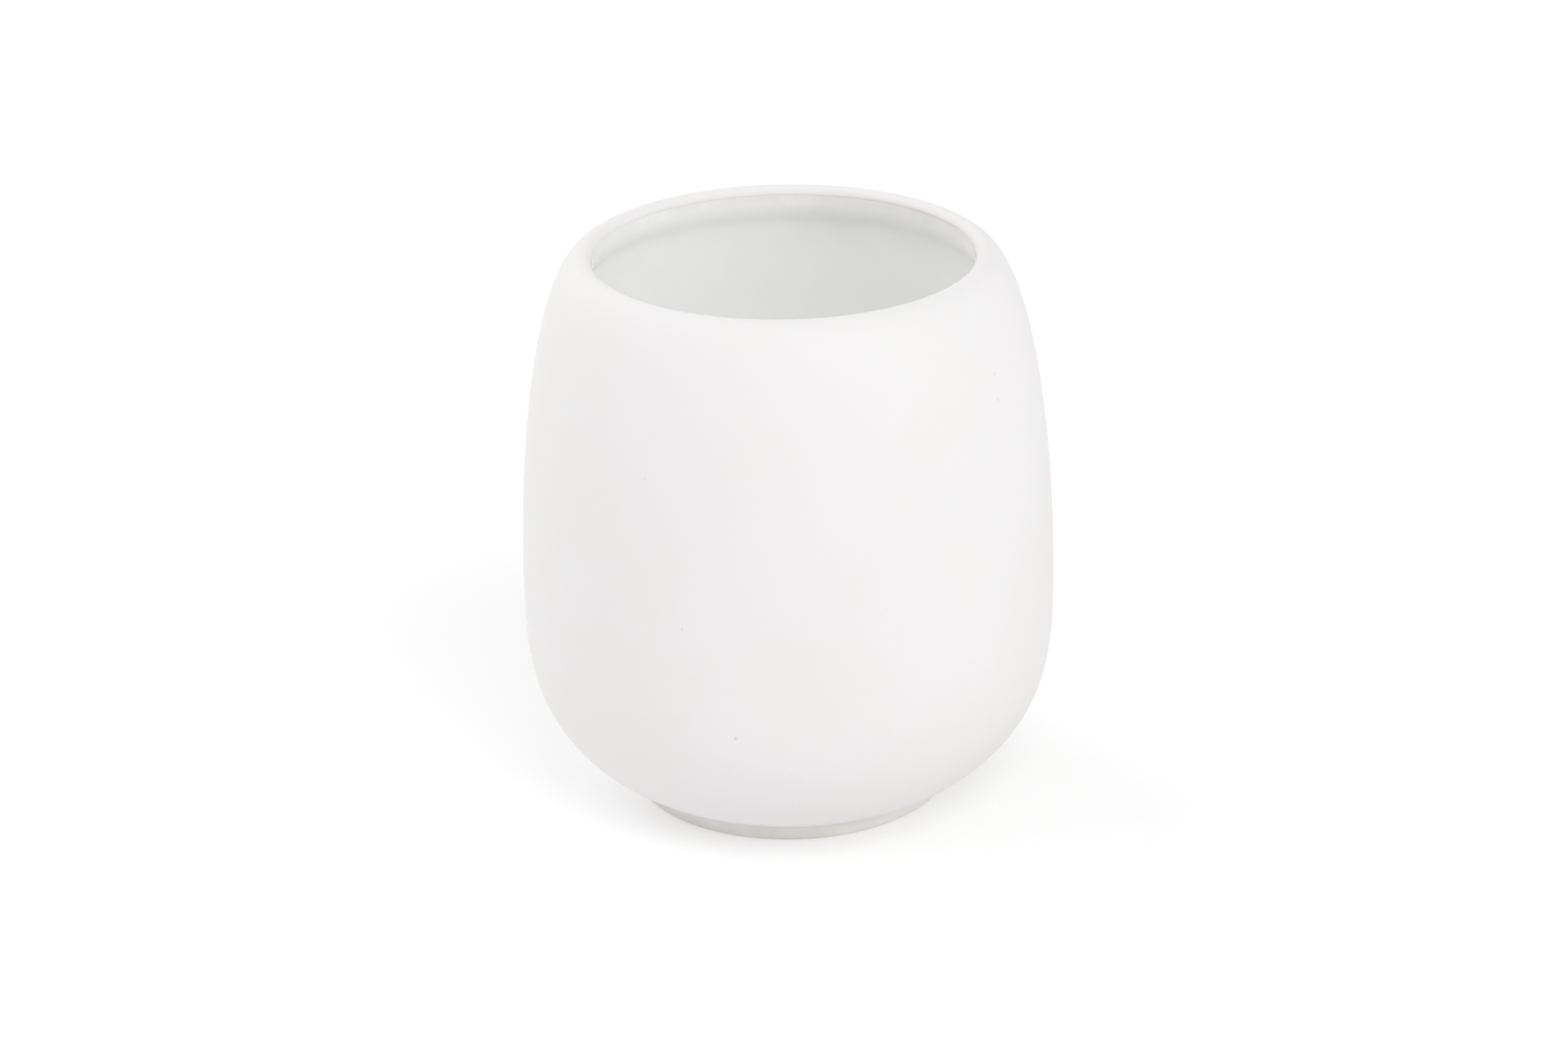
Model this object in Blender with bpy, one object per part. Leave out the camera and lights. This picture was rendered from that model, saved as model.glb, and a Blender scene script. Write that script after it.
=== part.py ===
"""Toothbrush tumbler: a barrel-shaped stoneware cup that stands on a low foot ring.

The clay is one fired piece. A glossy glaze lines the inside, and a matt coat covers the outside
from just above the foot ring, over the lip, to the lip's inner edge. Metres, +Z up. The origin is
the centre of the circle that the foot ring stands on. The sizes below are those of the finished
cup, with its coat and glaze on.

A depth under the finished surface is true at the widest circle, the lip, the foot and the floor.
On the slopes between them a layer is up to a third thinner.
"""

import math

import bmesh
import bpy

# Outside
HEIGHT = 0.0900
BODY_RADIUS = 0.0425
WIDEST_HEIGHT = 0.0340
LIP_ROUND = 0.0012
SHOULDER_POWERS = (2, 2)
UNDERSIDE_POWERS = (2.93, 1.31)

# Foot ring
FOOT_RADIUS = 0.0256
FOOT_HEIGHT = 0.0028
FOOT_WIDTH = 0.0034
FOOT_EDGE_ROUND = 0.0004
BASE_RECESS = 0.0018
BASE_FILLET = 0.0010

# Inside
MOUTH_RADIUS = 0.0300
NECK_HEIGHT = 0.0003
NECK_FLARE = 0.0052
WALL = 0.0046
FLOOR_HEIGHT = 0.0070
FLOOR_RADIUS = 0.0190

# Layers
COAT_THICKNESS = 0.0003
GLAZE_THICKNESS = 0.0003
LAYER_GAP = 0.0003

# Finishes
CLAY_COLOUR = (0.84, 0.84, 0.81)
CLAY_ROUGHNESS = 0.85
COAT_COLOUR = (0.88, 0.87, 0.87)
COAT_ROUGHNESS = 0.6
GLAZE_COLOUR = (0.90, 0.91, 0.90)
GLAZE_ROUGHNESS = 0.12

# Fineness
SEGMENTS = 48
QUARTER_STEPS = 10
SHOULDER_CROWDING = 1.6
ARC_STEPS = 3
FLARE_STEPS = 5
BELLY_STEPS = 5
MERGE_DISTANCE = 0.000001
SHARP_ANGLE = math.radians(35)

LIP_CENTRE = (MOUTH_RADIUS + LIP_ROUND, HEIGHT - LIP_ROUND)
NECK_TOP = LIP_CENTRE[1] - LAYER_GAP
NECK_BOTTOM = NECK_TOP - NECK_HEIGHT
FLARE_BOTTOM = NECK_BOTTOM - NECK_FLARE


def quarter(widest_radius, end_radius, end_height, powers, crowding=1):
    """A quarter of a superellipse, from the widest circle to a narrower one above or below it.

    Its powers are those of height and width, and with 2 for both it is a plain ellipse. A crowding
    over 1 sets the points closer towards the narrow end.
    """
    height_power, width_power = powers
    points = []
    for step in range(QUARTER_STEPS + 1):
        left_share = 1 - step / QUARTER_STEPS
        angle = math.pi / 2 * (1 - left_share**crowding)
        across_share = math.cos(angle) ** (2 / width_power)
        along_share = math.sin(angle) ** (2 / height_power)
        radius = end_radius + (widest_radius - end_radius) * across_share
        height = WIDEST_HEIGHT + (end_height - WIDEST_HEIGHT) * along_share
        points.append((radius, height))
    return points


def arc(centre, radius, start, end):
    """Points on a round corner, between two angles in degrees from +X."""
    points = []
    for step in range(ARC_STEPS + 1):
        angle = math.radians(start + (end - start) * step / ARC_STEPS)
        across = centre[0] + radius * math.cos(angle)
        up = centre[1] + radius * math.sin(angle)
        points.append((across, up))
    return points


def outside(depth):
    """The outside this far under the finished surface, from the foot ring to the lip's inner edge."""
    widest = BODY_RADIUS - depth
    underside = quarter(
        widest, FOOT_RADIUS + LAYER_GAP, FOOT_HEIGHT + depth, UNDERSIDE_POWERS
    )
    shoulder = quarter(
        widest, LIP_CENTRE[0], HEIGHT - depth, SHOULDER_POWERS, SHOULDER_CROWDING
    )
    lip = arc(LIP_CENTRE, LIP_ROUND - depth, 90, 180)
    return underside[::-1] + shoulder[1:-1] + lip


def shoulder_radius(height):
    """The finished outside radius at a height above the widest circle."""
    height_power, width_power = SHOULDER_POWERS
    along_share = (height - WIDEST_HEIGHT) / (HEIGHT - WIDEST_HEIGHT)
    across_share = (1 - along_share**height_power) ** (1 / width_power)
    return LIP_CENTRE[0] + (BODY_RADIUS - LIP_CENTRE[0]) * across_share


def inside_radius(height):
    """The finished inside radius: the mouth's at the neck, easing out to the wall's below it."""
    share = min((NECK_BOTTOM - height) / NECK_FLARE, 1)
    eased = share * share * (3 - 2 * share)
    return MOUTH_RADIUS + (shoulder_radius(height) - WALL - MOUTH_RADIUS) * eased


def inside(depth):
    """The inside this far under the finished surface, from the mouth down to the floor's centre."""
    belly_height = FLARE_BOTTOM - WIDEST_HEIGHT
    heights = [NECK_BOTTOM - NECK_FLARE * step / FLARE_STEPS for step in range(FLARE_STEPS + 1)]
    heights += [
        FLARE_BOTTOM - belly_height * step / BELLY_STEPS for step in range(1, BELLY_STEPS)
    ]
    neck = [(MOUTH_RADIUS + depth, NECK_TOP)]
    belly = [(inside_radius(height) + depth, height) for height in heights]
    floor_height = FLOOR_HEIGHT - depth
    bottom = quarter(BODY_RADIUS - WALL + depth, FLOOR_RADIUS, floor_height, UNDERSIDE_POWERS)
    return neck + belly + bottom + [(0, floor_height)]


def foot_ring():
    """The bare clay under the cup, from the recess's centre round the foot ring to its outer side."""
    inner_radius = FOOT_RADIUS - FOOT_WIDTH
    fillet = arc((inner_radius - BASE_FILLET, BASE_RECESS - BASE_FILLET), BASE_FILLET, 90, 0)
    inner_edge = arc((inner_radius + FOOT_EDGE_ROUND, FOOT_EDGE_ROUND), FOOT_EDGE_ROUND, 180, 270)
    outer_edge = arc((FOOT_RADIUS - FOOT_EDGE_ROUND, FOOT_EDGE_ROUND), FOOT_EDGE_ROUND, 270, 360)
    return [(0, BASE_RECESS)] + fillet + inner_edge + outer_edge


def turned(name, outline, material, ring=False):
    """A solid turned about Z from an outline that is a ring or has both its ends on the axis."""
    shape = bmesh.new()
    corners = [shape.verts.new((radius, 0, height)) for radius, height in outline]
    followers = corners[1:] + corners[:1] if ring else corners[1:]
    sides = [shape.edges.new(pair) for pair in zip(corners, followers)]
    bmesh.ops.spin(
        shape,
        geom=corners + sides,
        axis=(0, 0, 1),
        cent=(0, 0, 0),
        angle=2 * math.pi,
        steps=SEGMENTS,
        use_merge=True,
    )
    bmesh.ops.remove_doubles(shape, verts=shape.verts, dist=MERGE_DISTANCE)
    bmesh.ops.recalc_face_normals(shape, faces=shape.faces)
    mesh = bpy.data.meshes.new(name)
    shape.to_mesh(mesh)
    shape.free()
    mesh.shade_smooth()
    mesh.set_sharp_from_angle(angle=SHARP_ANGLE)
    mesh.materials.append(material)
    piece = bpy.data.objects.new(name, mesh)
    bpy.context.scene.collection.objects.link(piece)
    return piece


def finish(name, colour, roughness):
    """A plain material for one of the layers."""
    material = bpy.data.materials.new(name)
    material.use_nodes = True
    shader = material.node_tree.nodes["Principled BSDF"]
    shader.inputs["Base Color"].default_value = (*colour, 1)
    shader.inputs["Roughness"].default_value = roughness
    shader.inputs["Metallic"].default_value = 0
    return material


def stoneware_body():
    """The fired cup: wall, floor and foot ring in one piece, set back under its coat and glaze."""
    coated = outside(COAT_THICKNESS + LAYER_GAP)
    glazed = inside(GLAZE_THICKNESS + LAYER_GAP)
    foot_top = (FOOT_RADIUS, coated[0][1])
    clay = finish("bare_stoneware", CLAY_COLOUR, CLAY_ROUGHNESS)
    return turned("stoneware_body", foot_ring() + [foot_top] + coated + glazed, clay)


def outer_coat():
    """The matt coat, a thin shell that wraps over the lip and stops short of the foot ring."""
    section = outside(0) + outside(COAT_THICKNESS)[::-1]
    matt_white = finish("matt_white_coat", COAT_COLOUR, COAT_ROUGHNESS)
    return turned("outer_coat", section, matt_white, ring=True)


def inner_glaze():
    """The glossy glaze, a thin shell over the whole inside up to the lip."""
    section = inside(GLAZE_THICKNESS)[::-1] + inside(0)
    grey_white = finish("glossy_glaze", GLAZE_COLOUR, GLAZE_ROUGHNESS)
    return turned("inner_glaze", section, grey_white)


for leftover in list(bpy.data.objects):
    bpy.data.objects.remove(leftover)

body = stoneware_body()
for layer in (outer_coat(), inner_glaze()):
    layer.parent = body
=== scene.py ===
import math

import bmesh
import bpy
from mathutils import Matrix, Vector


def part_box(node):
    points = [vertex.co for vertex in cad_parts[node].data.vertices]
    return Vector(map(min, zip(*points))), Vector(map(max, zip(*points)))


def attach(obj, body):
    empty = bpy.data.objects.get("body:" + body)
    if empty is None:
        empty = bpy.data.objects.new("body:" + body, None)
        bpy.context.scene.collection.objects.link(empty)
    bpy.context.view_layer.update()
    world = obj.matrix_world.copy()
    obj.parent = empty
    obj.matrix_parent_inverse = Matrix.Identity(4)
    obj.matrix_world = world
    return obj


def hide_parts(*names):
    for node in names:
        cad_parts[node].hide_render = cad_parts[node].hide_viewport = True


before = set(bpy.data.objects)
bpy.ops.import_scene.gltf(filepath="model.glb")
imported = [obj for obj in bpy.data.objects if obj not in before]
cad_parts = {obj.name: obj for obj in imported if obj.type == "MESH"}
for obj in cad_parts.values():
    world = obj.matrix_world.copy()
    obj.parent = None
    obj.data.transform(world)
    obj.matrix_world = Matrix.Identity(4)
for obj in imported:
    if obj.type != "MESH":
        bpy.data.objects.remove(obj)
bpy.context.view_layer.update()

# The fired cup: white stoneware clay, turned in one with its wall, its floor and its low foot ring.
# The foot ring and the recess inside it were wiped clean before the firing and stay bare.
# All the rest of the clay is hidden right under the coat or the glaze.

coat_low, coat_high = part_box("outer_coat")
glaze_low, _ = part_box("inner_glaze")

cup_height = coat_high.z
widest_radius = coat_high.x
widest_height = 0.0340
shoulder_powers = (2, 2)
underside_powers = (2.93, 1.31)

foot_radius = 0.0256
foot_height = coat_low.z
foot_width = 0.0034
foot_edge_round = 0.0004
base_recess = 0.0018
base_fillet = 0.0010

lip_round = 0.0012
mouth_radius = 0.0300
lip_centre = (mouth_radius + lip_round, cup_height - lip_round)
neck_depth = 0.0018
neck_flare = 0.0052
neck_bottom = cup_height - neck_depth
flare_bottom = neck_bottom - neck_flare
wall_thickness = 0.0046
floor_radius = 0.0190

coat_thickness = 0.0003
glaze_thickness = 0.0003
floor_height = glaze_low.z + glaze_thickness
seat_gap = 0.00002

segments = 192
quarter_steps = 48
neck_crowding = 1.6
corner_steps = 8
merge_distance = 0.000001


def quarter(widest, narrow_end, powers):
    """A superellipse quarter from the widest circle to the radius and height of its narrow end."""
    height_power, width_power = powers
    end_radius, end_height = narrow_end
    points = []
    for step in range(quarter_steps + 1):
        angle = math.pi / 2 * step / quarter_steps
        across = math.cos(angle) ** (2 / width_power)
        along = math.sin(angle) ** (2 / height_power)
        radius = end_radius + (widest - end_radius) * across
        points.append((radius, widest_height + (end_height - widest_height) * along))
    return points


def corner(centre, radius, start, end):
    """A round corner between two angles, in degrees from +X."""
    points = []
    for step in range(corner_steps + 1):
        angle = math.radians(start + (end - start) * step / corner_steps)
        points.append((centre[0] + radius * math.cos(angle), centre[1] + radius * math.sin(angle)))
    return points


def outer_outline(depth):
    """The outside this far under the finished surface, from the foot up and over the lip."""
    widest = widest_radius - depth
    underside = quarter(widest, (foot_radius + seat_gap, foot_height + depth), underside_powers)
    shoulder = quarter(widest, (lip_centre[0], cup_height - depth), shoulder_powers)
    lip = corner(lip_centre, lip_round - depth, 90, 180)
    return underside[::-1] + shoulder[1:-1] + lip


def inner_outline(depth):
    """The inside this far under the finished surface, from the neck's lower end to the floor.

    The wall is set in from the outside's plain ellipse. Under the neck it eases out to there.
    """
    points = [(mouth_radius + depth, neck_bottom)]
    shoulder_reach = widest_radius - lip_centre[0]
    for step in range(1, quarter_steps):
        down = (step / quarter_steps) ** neck_crowding
        height = neck_bottom - (neck_bottom - widest_height) * down
        rise = (height - widest_height) / (cup_height - widest_height)
        wall_radius = lip_centre[0] + shoulder_reach * math.sqrt(1 - rise**2) - wall_thickness
        flare = min((neck_bottom - height) / neck_flare, 1)
        eased = flare * flare * (3 - 2 * flare)
        points.append((mouth_radius + (wall_radius - mouth_radius) * eased + depth, height))
    inside_widest = widest_radius - wall_thickness + depth
    points += quarter(inside_widest, (floor_radius, floor_height - depth), underside_powers)
    return points + [(0, floor_height - depth)]


def turned(name, outline, ring=False):
    """A piece turned about Z from half its section, riding on the cup's one body.

    The outline has both its ends on the axis, or is a ring that is closed on itself.
    """
    shape = bmesh.new()
    corners = [shape.verts.new((radius, 0, height)) for radius, height in outline]
    followers = corners[1:] + corners[:1] if ring else corners[1:]
    sides = [shape.edges.new(pair) for pair in zip(corners, followers)]
    bmesh.ops.spin(
        shape,
        geom=corners + sides,
        axis=(0, 0, 1),
        cent=(0, 0, 0),
        angle=2 * math.pi,
        steps=segments,
        use_merge=True,
    )
    bmesh.ops.remove_doubles(shape, verts=shape.verts, dist=merge_distance)
    bmesh.ops.recalc_face_normals(shape, faces=shape.faces)
    mesh = bpy.data.meshes.new(name)
    shape.to_mesh(mesh)
    shape.free()
    mesh.shade_smooth()
    piece = bpy.data.objects.new(name, mesh)
    bpy.context.scene.collection.objects.link(piece)
    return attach(piece, "root")


def foot_ring():
    """The bare clay from the recess's centre round the foot ring to the foot's outer side."""
    inner_radius = foot_radius - foot_width
    low = foot_edge_round
    fillet = corner((inner_radius - base_fillet, base_recess - base_fillet), base_fillet, 90, 0)
    inner_edge = corner((inner_radius + low, low), low, 180, 270)
    outer_edge = corner((foot_radius - low, low), low, 270, 360)
    return [(0, base_recess)] + fillet + inner_edge + outer_edge


coated = outer_outline(coat_thickness + seat_gap)
glazed = inner_outline(glaze_thickness + seat_gap)
fired_cup = turned("fired_cup", foot_ring() + [(foot_radius, coated[0][1])] + coated + glazed)
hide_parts("stoneware_body")


def node(tree, kind, inputs, **settings):
    """A node with its settings made and each input either linked to a socket or given a value."""
    made = tree.nodes.new(kind)
    for name, value in settings.items():
        setattr(made, name, value)
    for key, source in inputs.items():
        if isinstance(source, bpy.types.NodeSocket):
            tree.links.new(source, made.inputs[key])
        else:
            made.inputs[key].default_value = source
    return made


def maths(tree, operation, *sources):
    """What a Math node makes of its sources."""
    return node(tree, "ShaderNodeMath", dict(enumerate(sources)), operation=operation).outputs[0]


def eased_between(tree, value, start, end, low=0.0, high=1.0):
    """A value eased from low at its start to high at its end, and held beyond them."""
    limits = {"Value": value, "From Min": start, "From Max": end, "To Min": low, "To Max": high}
    kind = "ShaderNodeMapRange"
    return node(tree, kind, limits, interpolation_type="SMOOTHSTEP").outputs["Result"]


def blended(tree, share, first, second):
    """The first colour with a share of the second; 6, 7 and 2 are a Mix node's colour sockets."""
    sources = {"Factor": share, 6: first, 7: second}
    return node(tree, "ShaderNodeMix", sources, data_type="RGBA").outputs[2]


def effect_group(name, inputs, outputs):
    """An empty node group with named sockets, and its input and output nodes' sockets."""
    group = bpy.data.node_groups.new(name, "ShaderNodeTree")
    for direction, sockets in (("INPUT", inputs), ("OUTPUT", outputs)):
        for socket_name, kind in sockets.items():
            group.interface.new_socket(
                socket_name, in_out=direction, socket_type=f"NodeSocket{kind}"
            )
    return group, group.nodes.new("NodeGroupInput").outputs, group.nodes.new("NodeGroupOutput").inputs


def fired_mottle_group():
    """The uneven tone of a fired surface: soft clouds of a second colour, and a fine grain."""
    cloud_detail = 3
    cloud_range = (0.35, 0.65)
    grain_detail = 4
    group, given, made = effect_group(
        "fired_mottle",
        {
            "Vector": "Vector",
            "Colour": "Color",
            "Clouded": "Color",
            "Cloud Scale": "Float",
            "Grain Scale": "Float",
        },
        {"Colour": "Color", "Cloud": "Float", "Grain": "Float"},
    )
    sources = {"Vector": given["Vector"], "Scale": given["Cloud Scale"], "Detail": cloud_detail}
    clouds = node(group, "ShaderNodeTexNoise", sources).outputs["Fac"]
    share = eased_between(group, clouds, *cloud_range)
    sources = {"Vector": given["Vector"], "Scale": given["Grain Scale"], "Detail": grain_detail}
    grain = node(group, "ShaderNodeTexNoise", sources).outputs["Fac"]
    tone = blended(group, share, given["Colour"], given["Clouded"])
    for name, source in (("Colour", tone), ("Cloud", share), ("Grain", grain)):
        group.links.new(source, made[name])
    return group


def edge_ring_group():
    """A band about a circle of the turned shape, where a layer thins, pools or has been rubbed.

    Ring Radius and Ring Height give the circle and Reach how far the band fades out. The band is
    full where the surface faces Side. It falls to the share Least where the cosine of the angle
    between them is Side Start, with a slight wander.
    """
    wander_scale = 160
    wander_detail = 2
    wander_range = (0.3, 0.6)
    wander_least = 0.6
    group, given, made = effect_group(
        "edge_ring",
        {
            "Vector": "Vector",
            "Ring Radius": "Float",
            "Ring Height": "Float",
            "Reach": "Float",
            "Side": "Vector",
            "Side Start": "Float",
            "Least": "Float",
        },
        {"Mask": "Float"},
    )
    place = node(group, "ShaderNodeSeparateXYZ", {"Vector": given["Vector"]}).outputs
    flat = node(group, "ShaderNodeCombineXYZ", {"X": place["X"], "Y": place["Y"]}).outputs[0]
    radius = node(group, "ShaderNodeVectorMath", {0: flat}, operation="LENGTH").outputs["Value"]
    off_radius = maths(group, "SUBTRACT", radius, given["Ring Radius"])
    off_height = maths(group, "SUBTRACT", place["Z"], given["Ring Height"])
    off = node(group, "ShaderNodeCombineXYZ", {"X": off_radius, "Y": off_height}).outputs[0]
    distance = node(group, "ShaderNodeVectorMath", {0: off}, operation="LENGTH").outputs["Value"]
    near = eased_between(group, distance, given["Reach"], 0.0)
    outwards = node(group, "ShaderNodeVectorMath", {0: flat}, operation="NORMALIZE").outputs[0]
    sources = {0: outwards, 1: given["Side"]}
    facing = node(group, "ShaderNodeVectorMath", sources, operation="DOT_PRODUCT").outputs["Value"]
    side_share = eased_between(group, facing, given["Side Start"], 1.0, given["Least"], 1.0)
    sources = {"Vector": given["Vector"], "Scale": wander_scale, "Detail": wander_detail}
    wander = node(group, "ShaderNodeTexNoise", sources).outputs["Fac"]
    wander_share = eased_between(group, wander, *wander_range, wander_least, 1.0)
    mask = maths(group, "MULTIPLY", maths(group, "MULTIPLY", near, side_share), wander_share)
    group.links.new(mask, made["Mask"])
    return group


fired_mottle = fired_mottle_group()
edge_ring = edge_ring_group()


def new_surface(name):
    """A material, its node tree, its shader's inputs and the piece's own coordinates."""
    material = bpy.data.materials.new(name)
    material.use_nodes = True
    tree = material.node_tree
    shader = tree.nodes["Principled BSDF"].inputs
    return material, tree, shader, tree.nodes.new("ShaderNodeTexCoord").outputs["Object"]


def effect(tree, group, **inputs):
    """The outputs of a node group placed in a material, with its inputs given in plain names."""
    sources = {name.replace("_", " ").title(): source for name, source in inputs.items()}
    return node(tree, "ShaderNodeGroup", sources, node_tree=group).outputs


def bumped(tree, height, depth):
    """The normal of a surface whose height, from 0 to 1, is this deep in metres."""
    return node(tree, "ShaderNodeBump", {"Height": height, "Distance": depth}).outputs["Normal"]


grain_range = (0.3, 0.7)
clay_colour = (0.935, 0.935, 0.918, 1)
clay_clouds = (0.912, 0.914, 0.893, 1)
clay_roughness = (0.68, 0.84)
clay_grain_depth = 0.00003
# Painted shade: the foot's edges darken towards the paper, most on the left-front side, where shade
# falls.
foot_shade_colour = (0.765, 0.765, 0.73, 1)
foot_shade_reach = 0.0026
foot_shade_side = (-0.8, -0.6, 0)


def bare_stoneware():
    """Dry, fine-grained bare clay, with painted shade darkening the edges of its foot, most on one
    side.
    """
    material, tree, shader, place = new_surface("bare_stoneware")
    mottle = effect(
        tree,
        fired_mottle,
        vector=place,
        colour=clay_colour,
        clouded=clay_clouds,
        cloud_scale=220,
        grain_scale=2400,
    )
    colour = mottle["Colour"]
    # Painted shade on both edges of the foot ring, strongest on the left-front side.
    for ring_radius in (foot_radius, foot_radius - foot_width):
        foot_shade = effect(
            tree,
            edge_ring,
            vector=place,
            ring_radius=ring_radius,
            reach=foot_shade_reach,
            side=foot_shade_side,
            side_start=-0.6,
            least=0.45,
        )
        colour = blended(tree, foot_shade["Mask"], colour, foot_shade_colour)
    roughness = eased_between(tree, mottle["Grain"], *grain_range, *clay_roughness)
    tree.links.new(colour, shader["Base Color"])
    tree.links.new(roughness, shader["Roughness"])
    tree.links.new(bumped(tree, mottle["Grain"], clay_grain_depth), shader["Normal"])
    return material


fired_cup.data.materials.append(bare_stoneware())

# The matt coat: a white engobe, sprayed on over the whole outside and wiped off the foot ring.
# It runs over the lip and ends in a fine line at the lip's inner edge, where it meets the glaze.
# On one side of the mouth it ran thin there, and the clay's warmth shows through.

coat_edge_round = 0.00005
coat_end = lip_centre[1] - coat_edge_round
coat_foot_round = coat_thickness / 2
coat_foot_centre = (foot_radius + seat_gap + coat_foot_round, foot_height + coat_foot_round)


def coat_section():
    """The coat's section, with its edge at the lip just softened and its foot edge a half round."""
    outer_side = outer_outline(0)
    lip_edge = corner((mouth_radius + coat_edge_round, lip_centre[1]), coat_edge_round, 180, 270)
    lip_end = [(mouth_radius + coat_thickness, coat_end)]
    clay_side = outer_outline(coat_thickness)[::-1]
    foot_edge = corner(coat_foot_centre, coat_foot_round, 90, 270)
    clay_side = [point for point in clay_side if point[0] > coat_foot_centre[0]]
    outer_side = [point for point in outer_side if point[0] > coat_foot_centre[0]]
    return foot_edge[1:-1] + outer_side + lip_edge[1:] + lip_end + clay_side


coat = turned("matt_coat", coat_section(), ring=True)
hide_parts("outer_coat")

coat_colour = (0.886, 0.870, 0.873, 1)
coat_clouds = (0.874, 0.866, 0.859, 1)
coat_roughness = (0.56, 0.66)
coat_grain_depth = 0.000012
thin_side = (0.77, 0.64, 0)
haze_colour = (0.875, 0.845, 0.838, 1)
haze_reach = 0.0020
hairline_colour = (0.80, 0.74, 0.705, 1)
hairline_rise = 0.00010
hairline_reach = 0.00030
mark_colour = (0.62, 0.61, 0.60, 1)
mark_shortening = (1, 1, 0.6)

# The kiln marks, each with its angle about Z in degrees from +X, its height and its size

kiln_marks = (
    (-101.6, 0.0259, 0.00030),
    (-34.8, 0.0732, 0.00025),
    (-34.2, 0.0771, 0.00020),
    (-121.8, 0.0660, 0.00018),
    (-112.6, 0.0433, 0.00018),
)


def kiln_mark_group():
    """One tiny mark of the kiln at a place on the surface, a little longer than it is wide."""
    group, given, made = effect_group(
        "kiln_mark", {"Vector": "Vector", "Place": "Vector", "Size": "Float"}, {"Mask": "Float"}
    )
    sources = {0: given["Vector"], 1: given["Place"]}
    away = node(group, "ShaderNodeVectorMath", sources, operation="SUBTRACT").outputs[0]
    sources = {0: away, 1: mark_shortening}
    shortened = node(group, "ShaderNodeVectorMath", sources, operation="MULTIPLY").outputs[0]
    sources = {0: shortened}
    distance = node(group, "ShaderNodeVectorMath", sources, operation="LENGTH").outputs["Value"]
    group.links.new(eased_between(group, distance, given["Size"], 0.0), made["Mask"])
    return group


kiln_mark = kiln_mark_group()


def on_outside(angle, height):
    """The place on the outside at an angle about Z, in degrees from +X, and a height."""
    nearest = min(outer_outline(0), key=lambda point: abs(point[1] - height))
    turn = math.radians(angle)
    return (nearest[0] * math.cos(turn), nearest[0] * math.sin(turn), height)


def matt_white():
    """Matt warm white with a soft, dry touch, barely clouded, and with a few tiny kiln marks."""
    material, tree, shader, place = new_surface("matt_white")
    mottle = effect(
        tree,
        fired_mottle,
        vector=place,
        colour=coat_colour,
        clouded=coat_clouds,
        cloud_scale=45,
        grain_scale=3200,
    )
    haze = effect(
        tree,
        edge_ring,
        vector=place,
        ring_radius=mouth_radius,
        ring_height=lip_centre[1],
        reach=haze_reach,
        side=thin_side,
        side_start=0.5,
        least=0,
    )
    colour = blended(tree, haze["Mask"], mottle["Colour"], haze_colour)
    hairline = effect(
        tree,
        edge_ring,
        vector=place,
        ring_radius=mouth_radius,
        ring_height=lip_centre[1] + hairline_rise,
        reach=hairline_reach,
        side=thin_side,
        side_start=0.78,
        least=0,
    )
    colour = blended(tree, hairline["Mask"], colour, hairline_colour)
    for angle, height, size in kiln_marks:
        mark = effect(tree, kiln_mark, vector=place, place=on_outside(angle, height), size=size)
        colour = blended(tree, mark["Mask"], colour, mark_colour)
    roughness = eased_between(tree, mottle["Grain"], *grain_range, *coat_roughness)
    tree.links.new(colour, shader["Base Color"])
    tree.links.new(roughness, shader["Roughness"])
    tree.links.new(bumped(tree, mottle["Grain"], coat_grain_depth), shader["Normal"])
    return material


coat.data.materials.append(matt_white())

# The gloss glaze: a cool greyish-white glaze, poured in and out again so that it lines the inside.
# It ends in a soft bead under the coat's edge, and is thin and warm there, with painted shade just
# under the lip.
# It gathers where the wall turns into the floor, and painted shade darkens the hollow under the neck
# on one side of the cup.

glaze_edge_round = 0.00008
glaze_end = coat_end - seat_gap


def glaze_section():
    """The glaze's section, from the floor's centre under it, up to its bead and back down inside."""
    bead_centre = (mouth_radius + glaze_edge_round, glaze_end - glaze_edge_round)
    bead = corner(bead_centre, glaze_edge_round, 90, 180)
    hidden_end = [(mouth_radius + glaze_thickness, glaze_end)]
    return inner_outline(glaze_thickness)[::-1] + hidden_end + bead + inner_outline(0)


glaze = turned("gloss_glaze", glaze_section())
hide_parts("inner_glaze")

glaze_colour = (0.977, 0.977, 0.976, 1)
glaze_clouds = (0.972, 0.972, 0.970, 1)
glaze_roughness = (0.14, 0.19)
glaze_wave_depth = 0.00012

pooled_colour = (0.962, 0.965, 0.963, 1)
pooled_radius = floor_radius + 0.0100
pooled_height = 0.0135
pooled_reach = 0.0090

# Painted shade: the hollow under the neck is darker on one side of the cup, where shade falls.
neck_shade_colour = (0.890, 0.893, 0.886, 1)
neck_shade_radius = mouth_radius + 0.0012
neck_shade_height = flare_bottom + 0.0024
neck_shade_reach = 0.0085
neck_shade_side = (0.64, 0.77, 0)

# The glaze is warmer where it runs thin under the lip, and darkened there as well as painted shade.
thin_glaze_and_shade_colour = (0.838, 0.826, 0.804, 1)
thin_glaze_and_shade_reach = 0.0040


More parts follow.
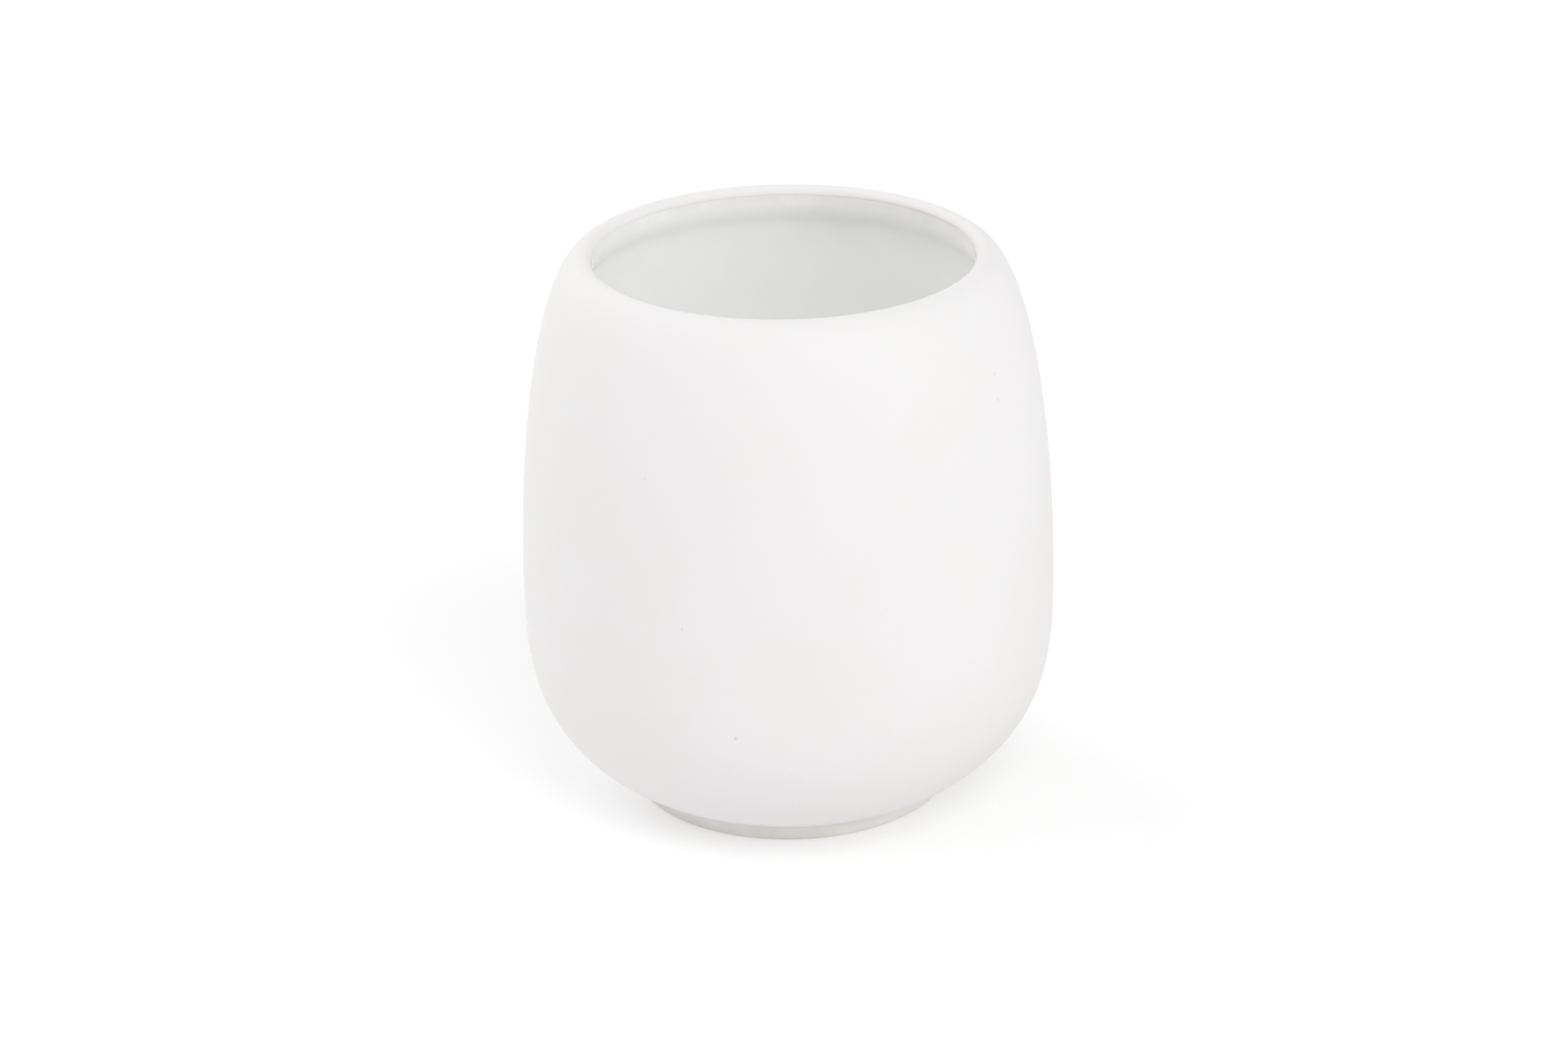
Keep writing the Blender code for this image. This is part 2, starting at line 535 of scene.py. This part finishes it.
def gloss_white():
    """Glossy cool greyish white, gently wavy, warmer where it is thin and deeper where it pools, with
    painted shade under the lip and in the hollow under the neck.
    """
    material, tree, shader, place = new_surface("gloss_white")
    mottle = effect(
        tree,
        fired_mottle,
        vector=place,
        colour=glaze_colour,
        clouded=glaze_clouds,
        cloud_scale=60,
        grain_scale=900,
    )
    pooled = effect(
        tree,
        edge_ring,
        vector=place,
        ring_radius=pooled_radius,
        ring_height=pooled_height,
        reach=pooled_reach,
        least=1,
    )
    colour = blended(tree, pooled["Mask"], mottle["Colour"], pooled_colour)
    # Painted shade in the hollow under the neck, on one side only.
    neck_shade = effect(
        tree,
        edge_ring,
        vector=place,
        ring_radius=neck_shade_radius,
        ring_height=neck_shade_height,
        reach=neck_shade_reach,
        side=neck_shade_side,
        side_start=0.7,
        least=0,
    )
    colour = blended(tree, neck_shade["Mask"], colour, neck_shade_colour)
    # Thin warm glaze under the lip, partly painted shade that darkens it.
    thin_and_shade = effect(
        tree,
        edge_ring,
        vector=place,
        ring_radius=mouth_radius,
        ring_height=glaze_end,
        reach=thin_glaze_and_shade_reach,
        side=thin_side,
        side_start=-0.5,
        least=0.5,
    )
    colour = blended(tree, thin_and_shade["Mask"], colour, thin_glaze_and_shade_colour)
    roughness = eased_between(tree, mottle["Cloud"], 0.0, 1.0, *glaze_roughness)
    tree.links.new(colour, shader["Base Color"])
    tree.links.new(roughness, shader["Roughness"])
    tree.links.new(bumped(tree, mottle["Cloud"], glaze_wave_depth), shader["Normal"])
    return material


glaze.data.materials.append(gloss_white())

# The studio: a sheet of white paper under the cup, and a soft white tent of light with four
# softboxes round it. The paper and the tent look white where the camera or a gloss sees them.

paper_size = 4.0
paper_colour = (0.87, 0.87, 0.87, 1)
paper_roughness = 0.9
paper_boost = 0.20
tent_strength = 0.66
tent_looks = 1.0
plain_white = (1, 1, 1, 1)


def seen_directly(tree):
    """1 where the camera sees a surface, by itself, in a gloss or through glass, and else 0."""
    seen = node(tree, "ShaderNodeLightPath", {}).outputs
    glossy = maths(tree, "MAXIMUM", seen["Is Glossy Ray"], seen["Is Transmission Ray"])
    return maths(tree, "MAXIMUM", seen["Is Camera Ray"], glossy)


sheet = bmesh.new()
bmesh.ops.create_grid(sheet, x_segments=1, y_segments=1, size=paper_size / 2)
bmesh.ops.translate(sheet, verts=sheet.verts, vec=(0, 0, -seat_gap))
paper_mesh = bpy.data.meshes.new("studio_paper")
sheet.to_mesh(paper_mesh)
sheet.free()
paper = bpy.data.objects.new("studio_paper", paper_mesh)
bpy.context.scene.collection.objects.link(paper)

white_paper, paper_tree, paper_shader, _ = new_surface("white_paper")
paper_shader["Base Color"].default_value = paper_colour
paper_shader["Roughness"].default_value = paper_roughness
paper_shader["Emission Color"].default_value = plain_white
boost = maths(paper_tree, "MULTIPLY", seen_directly(paper_tree), paper_boost)
paper_tree.links.new(boost, paper_shader["Emission Strength"])
paper_mesh.materials.append(white_paper)

tent = bpy.data.worlds.new("light_tent")
bpy.context.scene.world = tent
tent.use_nodes = True
tent_tree = tent.node_tree
tent_light = maths(
    tent_tree, "MULTIPLY_ADD", seen_directly(tent_tree), tent_looks - tent_strength, tent_strength
)
tent_tree.nodes["Background"].inputs["Color"].default_value = plain_white
tent_tree.links.new(tent_light, tent_tree.nodes["Background"].inputs["Strength"])


def softbox(name, place, size, power):
    """A square softbox that faces the cup's middle, with its size in metres and power in watts."""
    light = bpy.data.lights.new(name, "AREA")
    light.size = size
    light.energy = power
    lamp = bpy.data.objects.new(name, light)
    lamp.location = place
    aim = Vector((0, 0, cup_height / 2)) - lamp.location
    lamp.rotation_euler = aim.to_track_quat("-Z", "Y").to_euler()
    bpy.context.scene.collection.objects.link(lamp)


softbox("softbox_right", place=(1.25, -0.85, 0.6), size=0.8, power=3.5)
softbox("softbox_key", place=(0.5, -0.95, 1.2), size=0.9, power=5.4)
softbox("softbox_left", place=(-1.2, -0.2, 0.7), size=0.9, power=2.8)
softbox("softbox_back", place=(-0.9, 0.9, 0.8), size=0.9, power=3.6)

# The light inside the cup: it has bounced many times from wall to wall before it leaves the mouth,
# because the glaze is so white and the cup so deep. With few bounces the inside would be too dark.

light_bounces = 32
bpy.context.scene.cycles.max_bounces = light_bounces
bpy.context.scene.cycles.diffuse_bounces = light_bounces

# The camera: a short telephoto 0.6 m in front of the cup and 0.3 m above the paper, looking down
# at the cup at the photograph's angle, with the photograph's slight pan and roll.

camera_place = (0, -0.5995, 0.3030)
camera_pan = math.radians(0.059)
camera_tilt = math.radians(90 - 23.385)
camera_roll = math.radians(-0.95)
camera_lens = 93.75
camera_sensor_width = 36

camera_data = bpy.data.cameras.new("camera")
camera_data.lens = camera_lens
camera_data.sensor_width = camera_sensor_width
camera = bpy.data.objects.new("camera", camera_data)
camera.matrix_world = (
    Matrix.Translation(camera_place)
    @ Matrix.Rotation(camera_pan, 4, "Z")
    @ Matrix.Rotation(camera_tilt, 4, "X")
    @ Matrix.Rotation(camera_roll, 4, "Z")
)
bpy.context.scene.collection.objects.link(camera)
bpy.context.scene.camera = camera
bpy.context.scene.view_settings.view_transform = "Standard"
